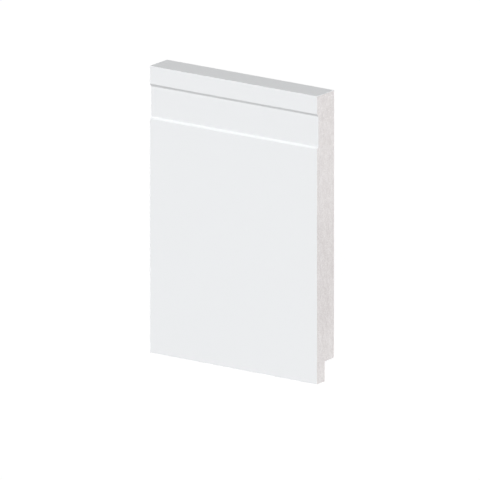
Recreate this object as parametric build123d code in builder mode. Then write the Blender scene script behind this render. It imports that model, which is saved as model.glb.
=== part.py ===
"""A short length of skirting board: a square-edged fibreboard moulding, coated white.

The front has a shallow sunk band near the top, between two bevels. The lower back is
rebated over the whole length, which leaves a thin tongue that stands on the floor and a
channel behind it for cables or for the gap round a floating floor. Both ends are sawn square.

Frame: the origin is on the floor, midway along the length and midway through the thickness.
+X runs along the wall, +Y points into the wall and +Z points up. Sizes are in millimetres.
"""

import os

from build123d import *

# The blank
length = 103.0
height = 150.0
thickness = 15.0

# The sunk band on the front, worked down from the top edge
top_band_height = 9.3
upper_bevel_height = 1.5
sunk_band_height = 15.8
lower_bevel_height = 0.9
sunk_band_depth = 1.1

# The rebate along the lower back
rebate_height = 10.5
rebate_depth = 8.0

# Eased edges: the front's top arris is rounder than those of the back, bevels and foot
top_radius = 0.25
fine_radius = 0.1

# Places that the sizes above fix
front = -thickness / 2
back = thickness / 2
sunk_face = front + sunk_band_depth
upper_bevel_top = height - top_band_height
upper_bevel_foot = upper_bevel_top - upper_bevel_height
lower_bevel_top = upper_bevel_foot - sunk_band_height
lower_bevel_foot = lower_bevel_top - lower_bevel_height
tongue_back = back - rebate_depth

with BuildPart() as skirting_board:
    # In the section, local X runs through the thickness and local Y runs up the board
    with BuildSketch(Plane.YZ) as section:
        with BuildLine():
            Polyline(
                (front, 0),
                (front, lower_bevel_foot),
                (sunk_face, lower_bevel_top),
                (sunk_face, upper_bevel_foot),
                (front, upper_bevel_top),
                (front, height),
                (back, height),
                (back, rebate_height),
                (tongue_back, rebate_height),
                (tongue_back, 0),
                close=True,
            )
        make_face()

        # Between the rebate and the top edge, the only corners are those of the two bevels
        bevel_corners = section.vertices().filter_by_position(
            Axis.Y, rebate_height + fine_radius, height - top_radius
        )
        foot_corners = section.vertices().group_by(Axis.Y)[0]
        back_top_corner = section.vertices().group_by(Axis.Y)[-1].sort_by(Axis.X)[-1]
        fillet([*bevel_corners, *foot_corners, back_top_corner], fine_radius)

        front_top_corner = section.vertices().group_by(Axis.Y)[-1].sort_by(Axis.X)[0]
        fillet(front_top_corner, top_radius)

    extrude(amount=length / 2, both=True)

skirting_board.part.label = "skirting_board"

os.makedirs("parts", exist_ok=True)
export_step(skirting_board.part, "parts/skirting_board.step")
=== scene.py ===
"""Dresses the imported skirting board: white coat, sawn ends, machined back, studio and camera."""

import math

import bpy
from mathutils import Matrix, Vector, noise


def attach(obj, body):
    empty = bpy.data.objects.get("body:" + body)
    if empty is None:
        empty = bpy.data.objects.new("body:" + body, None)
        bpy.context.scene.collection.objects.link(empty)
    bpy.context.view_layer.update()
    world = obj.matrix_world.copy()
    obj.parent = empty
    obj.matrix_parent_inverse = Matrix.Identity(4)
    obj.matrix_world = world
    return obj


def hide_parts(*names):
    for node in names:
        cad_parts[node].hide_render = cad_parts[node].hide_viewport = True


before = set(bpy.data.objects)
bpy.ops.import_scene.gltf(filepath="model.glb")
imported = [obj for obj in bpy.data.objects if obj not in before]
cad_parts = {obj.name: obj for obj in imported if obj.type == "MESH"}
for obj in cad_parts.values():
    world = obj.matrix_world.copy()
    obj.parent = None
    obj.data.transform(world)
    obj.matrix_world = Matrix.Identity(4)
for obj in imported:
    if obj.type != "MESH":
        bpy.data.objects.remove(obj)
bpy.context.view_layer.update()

MM = 0.001

# The section, as in the part's source
LENGTH = 103.0 * MM
HEIGHT = 150.0 * MM
THICKNESS = 15.0 * MM
TOP_BAND_HEIGHT = 9.3 * MM
UPPER_BEVEL_HEIGHT = 1.5 * MM
SUNK_BAND_HEIGHT = 15.8 * MM
LOWER_BEVEL_HEIGHT = 0.9 * MM
SUNK_BAND_DEPTH = 1.1 * MM
REBATE_HEIGHT = 10.5 * MM
REBATE_DEPTH = 8.0 * MM
TOP_RADIUS = 0.25 * MM
FINE_RADIUS = 0.1 * MM

FRONT = -THICKNESS / 2
BACK = THICKNESS / 2
SUNK_FACE = FRONT + SUNK_BAND_DEPTH
UPPER_BEVEL_TOP = HEIGHT - TOP_BAND_HEIGHT
UPPER_BEVEL_FOOT = UPPER_BEVEL_TOP - UPPER_BEVEL_HEIGHT
LOWER_BEVEL_TOP = UPPER_BEVEL_FOOT - SUNK_BAND_HEIGHT
LOWER_BEVEL_FOOT = LOWER_BEVEL_TOP - LOWER_BEVEL_HEIGHT
TONGUE_BACK = BACK - REBATE_DEPTH

# The mesh: rows of faces up the section, columns through it, and stations along the board
ROW_HEIGHT = 0.5 * MM
LEAST_ROW_HEIGHT = ROW_HEIGHT / 4
COLUMNS = 60
STATIONS = 20
ARC_STEP = math.radians(9)
SHARP_ANGLE = math.radians(24)

# Heights in metres are rounded to this many digits, and compared with this much room
HEIGHT_DIGITS = 8
ROUNDING = 0.001 * MM

# The order of the board's materials
COAT_SLOT, SAWN_SLOT, MACHINED_SLOT = range(3)

# The cut coat stands round the core's front and top, one column thick
COAT_THICKNESS = 0.25 * MM
CORE_TOP = HEIGHT - COAT_THICKNESS
ARRIS_FOOT = HEIGHT - FINE_RADIUS - ROUNDING

# The sawn core stands back from the cut coat, by a little and by the relief of its fibres
CORE_SET_BACK = 0.01 * MM
FIBRE_RELIEF = 0.05 * MM

# Long and short fibres: width, length, share of the relief, and where their noise starts
FIBRES = (
    (0.8 * MM, 3.0 * MM, 0.6, 0),
    (0.4 * MM, 1.2 * MM, 0.4, 7),
)

# Colours, as linear reflectances
COAT_COLOUR = (0.817, 0.829, 0.841, 1)
FIBRE_PALE = (0.948, 0.921, 0.916, 1)
FIBRE_LIGHT = (0.87, 0.84, 0.835, 1)
FIBRE_DARK = (0.69, 0.65, 0.645, 1)
FLOOR_COLOUR = (0.1, 0.1, 0.1, 1)
WHITE = (1, 1, 1, 1)

# The middle of every noise, relief and colour ramp
MIDDLE = 0.5
NOISE_ROUGHNESS = 0.55

# The coat's marks. In every such table, a size is (x, y, z) in millimetres and a tilt in degrees
COAT_MARKS = {
    "cloud": {"size": (30, 30, 30)},
    "peel": {"size": (1.4, 1.4, 1.4), "detail": 1.0},
    "fine": {"size": (0.5, 0.5, 0.5), "detail": 1.0, "offset": 0.23},
}

# How much each mark changes the coat's colour, its roughness and its bumps
COAT_TINT_MARKS = {"cloud": 0.05, "peel": 0.025}
COAT_GLOSS_MARKS = {"peel": 0.06, "cloud": 0.06}
COAT_BUMP_MARKS = {"peel": 0.8, "fine": 0.2}
COAT_BUMP_STRENGTH = 0.25
COAT_BUMP_HEIGHT = 0.01 * MM
COAT_ROUGHNESS = 0.42

# The coat's colour ramp goes this far to either side of its colour
COAT_SWING = 0.1

# The sunk band is painted darker, most so just above its lower bevel: painted shade in the recess
BAND_PAINTED_SHADE = 0.045
FOLD_PAINTED_SHADE = 0.265
FOLD_REACH = 5.0 * MM

# Beside the saw cuts, the coat is painted lighter: a painted highlight where its edge would catch
# the light
CUT_PAINTED_LIGHT = 0.3
CUT_REACH = 0.5 * MM

# The sawn ends' marks: upright streaks and strokes, clumps and specks, all running well inwards
SAWN_MARKS = {
    "streaks": {"size": (40, 1.8, 9), "tilt": 10, "distortion": 0.5},
    "left_strokes": {"size": (40, 1.0, 3.2), "tilt": 24, "offset": 0.31},
    "right_strokes": {"size": (40, 1.0, 3.2), "tilt": -20, "offset": 0.53},
    "clumps": {"size": (40, 2.4, 2.0), "detail": 1.0, "offset": 0.79},
    "fine_specks": {"size": (40, 0.9, 0.6), "detail": 0.0, "offset": 0.97},
    "mottle": {"size": (40, 6, 14), "detail": 3.0, "offset": 0.17},
    "bright_specks": {"size": (40, 1.4, 1.2), "detail": 0.0, "offset": 0.37},
}
SAWN_BUMP_MARKS = {"streaks": 0.6, "left_strokes": 0.5, "right_strokes": 0.5}
SAWN_BUMP_STRENGTH = 0.4
SAWN_BUMP_HEIGHT = 0.06 * MM
SAWN_ROUGHNESS = 0.9
SAWN_SPECULAR = 0.2

# The marks' weights in the colour, which turn from the first to the second between two heights
SAWN_TURN = (HEIGHT * 0.5, HEIGHT * 0.95)
SAWN_TINT_MARKS = {
    "streaks": (0.75, 0.5),
    "left_strokes": (0.62, 0.4),
    "right_strokes": (0.62, 0.4),
    "clumps": (0.38, 0.8),
    "fine_specks": (0.9, 0.4),
    "mottle": (0.3, 0.3),
}

# The ends' tone up the board, at the foot and beside both faces, as (start, end, first, last)
SAWN_RISE = (HEIGHT * 0.45, HEIGHT * 0.73, 0.52, 0.73)
SAWN_FOOT = (REBATE_HEIGHT * 0.5, REBATE_HEIGHT * 3.8, 0.27, 0)
SAWN_BORDER = (BACK - 1.5 * MM, BACK, 0, -0.1)

# The bright specks' cores by the noise's value, and their weight up the board, given alike
BRIGHT_CORES = (0.57, 0.75, 0, 1)
BRIGHT_WEIGHT = (HEIGHT * 0.8, HEIGHT * 0.97, 0.2, 0.45)

# Where the ends' colour ramp is light. Beyond it, the bright specks go on to pale
LIGHT_STOP = 0.7

# The back's marks: short flecks that lie all ways, and the fine lines of the cutter
MACHINED_MARKS = {
    "flecks": {"size": (2.4, 0.7, 0.7), "detail": 3.0, "distortion": 1.2},
    "cross_flecks": {"size": (0.7, 0.7, 2.4), "detail": 3.0, "distortion": 1.2, "offset": 0.41},
    "mottle": {"size": (14, 14, 14), "detail": 3.0, "offset": 0.67},
    "cutter_marks": {"size": (60, 0.4, 0.4), "detail": 1.0, "offset": 0.89},
}
MACHINED_GLOSS_MARKS = {"flecks": 0.15}
MACHINED_BUMP_MARKS = {"flecks": 0.5, "cross_flecks": 0.5, "cutter_marks": 0.4}
MACHINED_BUMP_STRENGTH = 0.5
MACHINED_BUMP_HEIGHT = 0.03 * MM
MACHINED_ROUGHNESS = 0.72
MACHINED_SPECULAR = 0.3

# The rebate is milled into the board's core. It and the foot are painted darker than the sanded back
# above: painted shade in the recess
REBATE_PAINTED_SHADE = 0.4
PAINTED_SHADE_EDGE = 0.4 * MM

# The marks' weights in the colour, in the rebate and on the back, which turn at its roof
MACHINED_TURN = (REBATE_HEIGHT, REBATE_HEIGHT + PAINTED_SHADE_EDGE)
MACHINED_TINT_MARKS = {
    "flecks": (0.7, 0.7),
    "cross_flecks": (0.7, 0.7),
    "mottle": (0.6, 0.6),
    "cutter_marks": (0.9, 0.25),
}

# Light: irradiances, where 1 shows a colour as it is written
SKY_LIGHT = 0.05
FLOOR_LIGHT = 0.13
FLOOR_WHITE = 0.96
FLOOR_REACH = 4.0
FLOOR_GAP = 0.05 * MM

# Each lamp: where it stands, its strength, and how many degrees of the sky it fills
LAMPS = {
    "key": ((0.6, -0.878, 0.44), 1.151, 25),
    "side": ((0.97, -0.2, 0.1), 0.165, 30),
    "left": ((-1, -0.03, 0.06), 0.85, 10),
    "back": ((0.1, 0.99, 0.06), 0.9, 10),
}

# The camera, by a fit of its view to the photograph's edges: a long lens from far away
CAMERA_AZIMUTH = math.radians(35.34)
CAMERA_ELEVATION = math.radians(15.37)
CAMERA_DISTANCE = 10.0
CAMERA_REACH = 100.0
FRAME_WIDTH = 241.79 * MM

# Its view is centred this far right and up, as it sees them, of a point inside the board
VIEW_POINT = Vector((-1.5 * MM, -0.5 * MM, 75 * MM))
VIEW_RIGHT = 0.607 * MM
VIEW_UP = -9.292 * MM


def eased(corners):
    """The (y, z) outline through these (y, z, radius) corners, without the first and the last."""
    outline = []
    for before, corner, after in zip(corners, corners[1:], corners[2:]):
        tip = Vector(corner[:2])
        radius = corner[2]
        if radius == 0:
            outline.append(tuple(tip))
            continue
        back_along = (Vector(before[:2]) - tip).normalized()
        on_along = (Vector(after[:2]) - tip).normalized()
        half_angle = back_along.angle(on_along) / 2
        centre = tip + (back_along + on_along).normalized() * radius / math.sin(half_angle)
        start = tip + back_along * radius / math.tan(half_angle) - centre
        end = tip + on_along * radius / math.tan(half_angle) - centre
        turn = start.angle_signed(end)
        steps = max(2, math.ceil(abs(turn) / ARC_STEP))
        for step in range(steps + 1):
            arm = start.copy()
            arm.rotate(Matrix.Rotation(-turn * step / steps, 2))
            outline.append(tuple(centre + arm))
    return outline


def across(outline, z):
    """The outline's y at this height."""
    for (y_low, z_low), (y_high, z_high) in zip(outline, outline[1:]):
        if z <= z_high:
            return y_low + (y_high - y_low) * (z - z_low) / (z_high - z_low)
    return outline[-1][0]


def row_heights(turning_heights):
    """Heights for the rows of faces: where the outline turns, and evenly between."""
    rows = round(HEIGHT / ROW_HEIGHT)
    even = [HEIGHT * row / rows for row in range(rows + 1)]
    clear = [
        z for z in even if min(abs(z - fixed) for fixed in turning_heights) > LEAST_ROW_HEIGHT
    ]
    return sorted(set(turning_heights) | set(clear))


def section_grid():
    """The section as {(row, column): (y, z)}, its edge as a walk, and each face's first corner."""
    # Each outline starts and ends on the faces beyond it, for the arcs at its own two ends
    front = eased(
        [
            (FRONT + FINE_RADIUS * 2, 0, 0),
            (FRONT, 0, FINE_RADIUS),
            (FRONT, LOWER_BEVEL_FOOT, FINE_RADIUS),
            (SUNK_FACE, LOWER_BEVEL_TOP, FINE_RADIUS),
            (SUNK_FACE, UPPER_BEVEL_FOOT, FINE_RADIUS),
            (FRONT, UPPER_BEVEL_TOP, FINE_RADIUS),
            (FRONT, HEIGHT, TOP_RADIUS),
            (FRONT + TOP_RADIUS * 2, HEIGHT, 0),
        ]
    )
    tongue_back = eased(
        [
            (TONGUE_BACK - FINE_RADIUS * 2, 0, 0),
            (TONGUE_BACK, 0, FINE_RADIUS),
            (TONGUE_BACK, REBATE_HEIGHT, 0),
            (BACK, REBATE_HEIGHT, 0),
        ]
    )
    back = eased(
        [
            (TONGUE_BACK, REBATE_HEIGHT, 0),
            (BACK, REBATE_HEIGHT, 0),
            (BACK, HEIGHT, FINE_RADIUS),
            (BACK - FINE_RADIUS * 2, HEIGHT, 0),
        ]
    )
    turning_heights = sorted({round(z, HEIGHT_DIGITS) for _, z in front + tongue_back + back})
    heights = row_heights(turning_heights)
    roof_row = heights.index(round(REBATE_HEIGHT, HEIGHT_DIGITS))
    tongue_columns = round(COLUMNS * (TONGUE_BACK - FRONT) / THICKNESS)

    grid = {}
    for row, z in enumerate(heights):
        behind, columns = (back, COLUMNS) if row >= roof_row else (tongue_back, tongue_columns)
        y_front = across(front, z)
        y_back = across(behind, z)
        for column in range(columns + 1):
            grid[row, column] = (y_front + (y_back - y_front) * column / columns, z)

    top_row = len(heights) - 1
    edge = [(0, column) for column in range(tongue_columns)]
    edge += [(row, tongue_columns) for row in range(roof_row)]
    edge += [(roof_row, column) for column in range(tongue_columns, COLUMNS)]
    edge += [(row, COLUMNS) for row in range(roof_row, top_row)]
    edge += [(top_row, column) for column in range(COLUMNS, 0, -1)]
    edge += [(row, 0) for row in range(top_row, 0, -1)]

    cells = [
        (row, column)
        for row in range(top_row)
        for column in range(COLUMNS if row >= roof_row else tongue_columns)
    ]
    return grid, edge, cells


def fibre_relief(y, z, station):
    """How far the sawn fibres stand back at this point of an end, from 0 to 1."""
    relief = MIDDLE
    for width, length, share, start in FIBRES:
        relief += share * noise.noise(Vector((y / width, z / length, station + start)))
    return min(1, max(0, relief))


def board_points(grid, edge):
    """The board's points, and the number of the one at each (station, spot)."""
    points = []
    number = {}
    for station in range(STATIONS + 1):
        x = LENGTH * (station / STATIONS - 0.5)
        is_end = station in (0, STATIONS)
        for spot in grid if is_end else edge:
            y, z = grid[spot]
            inward = 0
            if is_end and spot[1] > 0 and z < CORE_TOP:
                inward = CORE_SET_BACK + FIBRE_RELIEF * fibre_relief(y, z, station)
            number[station, spot] = len(points)
            points.append((x - math.copysign(inward, x), y, z))
    return points, number


def end_faces(grid, cells, number):
    """Each face of the two ends, with its material's slot."""
    for row, column in cells:
        corners = [(row, column), (row, column + 1), (row + 1, column + 1), (row + 1, column)]
        is_coat = column == 0 or grid[row, column][1] >= CORE_TOP
        for station, turned in ((0, reversed(corners)), (STATIONS, corners)):
            face = [number[station, corner] for corner in turned]
            yield face, COAT_SLOT if is_coat else SAWN_SLOT


def side_faces(grid, edge, number):
    """Each face between the two ends, with its material's slot."""
    top_row = max(row for row, _ in grid)
    for here, following in zip(edge, edge[1:] + edge[:1]):
        on_front = here[1] == 0 and following[1] == 0
        on_top = here[0] == top_row and following[0] == top_row
        on_arris = grid[here][1] > ARRIS_FOOT
        is_coat = on_front or on_top or on_arris
        for station in range(STATIONS):
            face = [
                number[station, here],
                number[station, following],
                number[station + 1, following],
                number[station + 1, here],
            ]
            yield face, COAT_SLOT if is_coat else MACHINED_SLOT


def add_object(name, points, faces, materials):
    """An object with a mesh of these points and faces, in the scene."""
    mesh = bpy.data.meshes.new(name)
    mesh.from_pydata(points, [], faces)
    for material in materials:
        mesh.materials.append(material)
    made = bpy.data.objects.new(name, mesh)
    bpy.context.scene.collection.objects.link(made)
    return made


def make_board(coat, sawn, machined):
    """The board as one closed mesh, with rows fine enough for the relief of the sawn ends."""
    grid, edge, cells = section_grid()
    points, number = board_points(grid, edge)
    made_faces = [*end_faces(grid, cells, number), *side_faces(grid, edge, number)]
    faces = [face for face, _ in made_faces]
    slots = [slot for _, slot in made_faces]
    board = add_object("board", points, faces, (coat, sawn, machined))
    board.data.polygons.foreach_set("material_index", slots)
    board.data.polygons.foreach_set("use_smooth", [True] * len(faces))
    board.data.set_sharp_from_angle(angle=SHARP_ANGLE)
    board.data.update()
    return board


def add(tree, kind, inputs=None, **settings):
    """A node with its settings, and its inputs given as values or as other nodes' outputs."""
    made = tree.nodes.new(kind)
    for name, value in settings.items():
        setattr(made, name, value)
    for name, value in (inputs or {}).items():
        if isinstance(value, bpy.types.NodeSocket):
            tree.links.new(value, made.inputs[name])
        else:
            made.inputs[name].default_value = value
    return made


def math_node(tree, operation, *values):
    """The output of a maths node."""
    return add(tree, "ShaderNodeMath", dict(enumerate(values)), operation=operation).outputs[0]


def grain(tree, place, size, tilt=0.0, detail=2.0, distortion=0.0, offset=0.0):
    """Noise from 0 to 1 whose marks are about this (x, y, z) size, tilted about the X axis."""
    stretched = add(
        tree,
        "ShaderNodeMapping",
        {
            "Vector": place,
            "Location": (offset, offset, offset),
            "Rotation": (math.radians(tilt), 0, 0),
            "Scale": [side * MM for side in size],
        },
        vector_type="TEXTURE",
    )
    return add(
        tree,
        "ShaderNodeTexNoise",
        {
            "Vector": stretched.outputs["Vector"],
            "Scale": 1.0,
            "Detail": detail,
            "Roughness": NOISE_ROUGHNESS,
            "Distortion": distortion,
        },
    ).outputs["Fac"]


def grains(tree, place, table):
    """The noise of each kind of mark in the table, by name."""
    return {name: grain(tree, place, **settings) for name, settings in table.items()}


def spread(tree, start, marks, weights):
    """start plus each named mark by its weight, where the middle of the noise adds nothing."""
    total = start
    for name, weight in weights.items():
        centred = math_node(tree, "SUBTRACT", marks[name], MIDDLE)
        total = math_node(tree, "MULTIPLY_ADD", centred, weight, total)
    return total


def colour_ramp(tree, factor, stops):
    """A colour ramp through these (position, colour) stops."""
    ramp = add(tree, "ShaderNodeValToRGB", {"Fac": factor})
    elements = ramp.color_ramp.elements
    for element, (position, colour) in zip(elements, stops):
        element.position = position
        element.color = colour
    for position, colour in stops[2:]:
        elements.new(position).color = colour
    return ramp.outputs["Color"]


def new_material(name):
    """A material, its node tree, its main shader and the row frame's coordinates."""
    material = bpy.data.materials.new(name)
    material.use_nodes = True
    tree = material.node_tree
    shader = tree.nodes["Principled BSDF"]
    place = add(tree, "ShaderNodeTexCoord").outputs["Object"]
    return material, tree, shader, place


def eased_range(tree, value, start, end, first, last):
    """A number that turns smoothly from first to last as the value goes from start to end."""
    return add(
        tree,
        "ShaderNodeMapRange",
        {"Value": value, "From Min": start, "From Max": end, "To Min": first, "To Max": last},
        interpolation_type="SMOOTHSTEP",
    ).outputs["Result"]


def turning_weights(tree, value, turn, weights):
    """Each weight as a number that goes from its first to its last value over this range."""
    return {name: eased_range(tree, value, *turn, *ends) for name, ends in weights.items()}


def add_bumps(tree, shader, marks, weights, strength, height):
    """Gives the surface bumps of this height at the marks."""
    relief = spread(tree, MIDDLE, marks, weights)
    settings = {"Height": relief, "Strength": strength, "Distance": height}
    bump = add(tree, "ShaderNodeBump", settings)
    tree.links.new(bump.outputs["Normal"], shader.inputs["Normal"])


def make_coat():
    """The white satin coat: a faint sprayed texture, with painted shade in the sunk band and a
    painted highlight at the cuts.
    """
    material, tree, shader, place = new_material("white_satin_coat")
    marks = grains(tree, place, COAT_MARKS)
    split = add(tree, "ShaderNodeSeparateXYZ", {"Vector": place})
    height_up = split.outputs["Z"]
    along = math_node(tree, "ABSOLUTE", split.outputs["X"])

    # Painted shade: the coat in the sunk band is painted darker, most so just above its lower bevel
    over_fold = math_node(tree, "GREATER_THAN", height_up, LOWER_BEVEL_TOP)
    under_bevel = math_node(tree, "LESS_THAN", height_up, UPPER_BEVEL_FOOT)
    in_band = math_node(tree, "MULTIPLY", over_fold, under_bevel)
    fold_start = LOWER_BEVEL_TOP - FOLD_REACH / 2
    fold_end = LOWER_BEVEL_TOP + FOLD_REACH
    painted_fold_shade = BAND_PAINTED_SHADE + FOLD_PAINTED_SHADE
    painted_recess_shade = eased_range(tree, height_up, fold_start, fold_end, painted_fold_shade, BAND_PAINTED_SHADE)
    painted_recess_shade = math_node(tree, "MULTIPLY", in_band, painted_recess_shade)

    # Painted highlight: the coat is painted lighter within a little of each saw cut
    cut = LENGTH / 2
    level = eased_range(tree, along, cut - CUT_REACH, cut, MIDDLE, MIDDLE + CUT_PAINTED_LIGHT)
    level = math_node(tree, "SUBTRACT", level, painted_recess_shade)
    shade = spread(tree, level, marks, COAT_TINT_MARKS)
    darker = [channel * (1 - COAT_SWING) for channel in COAT_COLOUR[:3]] + [1]
    lighter = [channel * (1 + COAT_SWING) for channel in COAT_COLOUR[:3]] + [1]
    colour = colour_ramp(tree, shade, [(0, darker), (1, lighter)])
    tree.links.new(colour, shader.inputs["Base Color"])
    roughness = spread(tree, COAT_ROUGHNESS, marks, COAT_GLOSS_MARKS)
    tree.links.new(roughness, shader.inputs["Roughness"])
    add_bumps(tree, shader, marks, COAT_BUMP_MARKS, COAT_BUMP_STRENGTH, COAT_BUMP_HEIGHT)
    return material


def make_sawn_fibres():
    """The raw fibreboard of a sawn end: upright fibres, turning to clumps and specks at the top."""
    material, tree, shader, place = new_material("sawn_fibreboard")
    marks = grains(tree, place, SAWN_MARKS)
    split = add(tree, "ShaderNodeSeparateXYZ", {"Vector": place})
    height_up = split.outputs["Z"]
    from_middle = math_node(tree, "ABSOLUTE", split.outputs["Y"])

    rise = eased_range(tree, height_up, *SAWN_RISE)
    border = eased_range(tree, from_middle, *SAWN_BORDER)
    foot = eased_range(tree, height_up, *SAWN_FOOT)
    level = math_node(tree, "ADD", math_node(tree, "ADD", rise, border), foot)
    bright_cores = eased_range(tree, marks["bright_specks"], *BRIGHT_CORES)
    bright_weight = eased_range(tree, height_up, *BRIGHT_WEIGHT)
    level = math_node(tree, "MULTIPLY_ADD", bright_cores, bright_weight, level)

    tints = turning_weights(tree, height_up, SAWN_TURN, SAWN_TINT_MARKS)
    shade = math_node(tree, "MULTIPLY", spread(tree, level, marks, tints), LIGHT_STOP)
    stops = [(0, FIBRE_DARK), (LIGHT_STOP, FIBRE_LIGHT), (1, FIBRE_PALE)]
    tree.links.new(colour_ramp(tree, shade, stops), shader.inputs["Base Color"])
    shader.inputs["Roughness"].default_value = SAWN_ROUGHNESS
    shader.inputs["Specular IOR Level"].default_value = SAWN_SPECULAR
    add_bumps(tree, shader, marks, SAWN_BUMP_MARKS, SAWN_BUMP_STRENGTH, SAWN_BUMP_HEIGHT)
    return material


def make_machined_fibres():
    """The raw sanded back, and the milled rebate and foot: short fibre flecks lying all ways, with
    painted shade in the rebate and foot.
    """
    material, tree, shader, place = new_material("machined_fibreboard")
    marks = grains(tree, place, MACHINED_MARKS)
    height_up = add(tree, "ShaderNodeSeparateXYZ", {"Vector": place}).outputs["Z"]

    # Painted shade: below the rebate's roof the colour is painted darker than on the back
    level = eased_range(tree, height_up, *MACHINED_TURN, MIDDLE - REBATE_PAINTED_SHADE, MIDDLE)
    tints = turning_weights(tree, height_up, MACHINED_TURN, MACHINED_TINT_MARKS)
    shade = spread(tree, level, marks, tints)
    colour = colour_ramp(tree, shade, [(0, FIBRE_DARK), (1, FIBRE_LIGHT)])
    tree.links.new(colour, shader.inputs["Base Color"])
    roughness = spread(tree, MACHINED_ROUGHNESS, marks, MACHINED_GLOSS_MARKS)
    tree.links.new(roughness, shader.inputs["Roughness"])
    shader.inputs["Specular IOR Level"].default_value = MACHINED_SPECULAR
    add_bumps(tree, shader, marks, MACHINED_BUMP_MARKS, MACHINED_BUMP_STRENGTH, MACHINED_BUMP_HEIGHT)
    return material


def seen_directly(tree):
    """1 for camera rays and for mirrored or refracted ones, and 0 for light on the object."""
    path = add(tree, "ShaderNodeLightPath")
    mirrored = math_node(
        tree, "MAXIMUM", path.outputs["Is Glossy Ray"], path.outputs["Is Transmission Ray"]
    )
    return math_node(tree, "MAXIMUM", path.outputs["Is Camera Ray"], mirrored)


def seen_or_lighting(tree, lighting, seen):
    """The output that is one shader where it is seen, and another where it lights the object."""
    inputs = {"Fac": seen_directly(tree), 1: lighting.outputs[0], 2: seen.outputs[0]}
    return add(tree, "ShaderNodeMixShader", inputs).outputs[0]


def make_floor():
    """A light table: steady soft light from below, seen as white with the object's faint shadow."""
    material = bpy.data.materials.new("light_table")
    material.use_nodes = True
    tree = material.node_tree
    tree.nodes.clear()
    soft = add(tree, "ShaderNodeEmission", {"Strength": FLOOR_LIGHT})
    paper = add(tree, "ShaderNodeBsdfDiffuse", {"Color": FLOOR_COLOUR})
    white = add(tree, "ShaderNodeEmission", {"Strength": FLOOR_WHITE})
    seen = add(tree, "ShaderNodeAddShader", {0: paper.outputs[0], 1: white.outputs[0]})
    surface = seen_or_lighting(tree, soft, seen)
    add(tree, "ShaderNodeOutputMaterial", {"Surface": surface})

    corners = [(-1, -1), (1, -1), (1, 1), (-1, 1)]
    points = [(x * FLOOR_REACH, y * FLOOR_REACH, -FLOOR_GAP) for x, y in corners]
    floor = add_object("floor", points, [(0, 1, 2, 3)], [material])


def make_world():
    """Soft grey light from all round, seen by the camera and in reflections as white."""
    world = bpy.data.worlds.new("studio")
    bpy.context.scene.world = world
    world.use_nodes = True
    tree = world.node_tree
    tree.nodes.clear()
    soft = add(tree, "ShaderNodeBackground", {"Color": WHITE, "Strength": SKY_LIGHT})
    white = add(tree, "ShaderNodeBackground", {"Color": WHITE, "Strength": 1.0})
    add(tree, "ShaderNodeOutputWorld", {"Surface": seen_or_lighting(tree, soft, white)})


def add_sun(name, towards, strength, softness):
    """A distant lamp that stands this way. A strength of 1 lights a surface that faces it at 1."""
    lamp = bpy.data.lights.new(name, "SUN")
    lamp.energy = strength * math.pi
    lamp.angle = math.radians(softness)
    sun = bpy.data.objects.new(name, lamp)
    sun.rotation_euler = Vector(towards).to_track_quat("Z", "Y").to_euler()
    # The satin coat mirrors the white room, and not the lamps
    sun.visible_glossy = False
    bpy.context.scene.collection.objects.link(sun)


def make_camera():
    """A long-lens view at the photograph's angle, with the object where the photograph has it."""
    azimuth, elevation = CAMERA_AZIMUTH, CAMERA_ELEVATION
    to_camera = Vector(
        (
            math.sin(azimuth) * math.cos(elevation),
            -math.cos(azimuth) * math.cos(elevation),
            math.sin(elevation),
        )
    )
    right = Vector((math.cos(azimuth), math.sin(azimuth), 0))
    up = to_camera.cross(right)
    aim = VIEW_POINT + right * VIEW_RIGHT + up * VIEW_UP
    stand = Matrix.Translation(aim + to_camera * CAMERA_DISTANCE)
    turn = Matrix((right, up, to_camera)).transposed().to_4x4()
    data = bpy.data.cameras.new("camera")
    data.lens = data.sensor_width * CAMERA_DISTANCE / FRAME_WIDTH
    data.clip_end = CAMERA_REACH
    camera = bpy.data.objects.new("camera", data)
    camera.matrix_world = stand @ turn
    bpy.context.scene.collection.objects.link(camera)
    bpy.context.scene.camera = camera


board = make_board(make_coat(), make_sawn_fibres(), make_machined_fibres())
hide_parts("skirting_board")
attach(board, "root")

make_floor()
make_world()
for name, (towards, strength, softness) in LAMPS.items():
    add_sun(name, towards, strength, softness)
make_camera()
bpy.context.scene.view_settings.view_transform = "Standard"
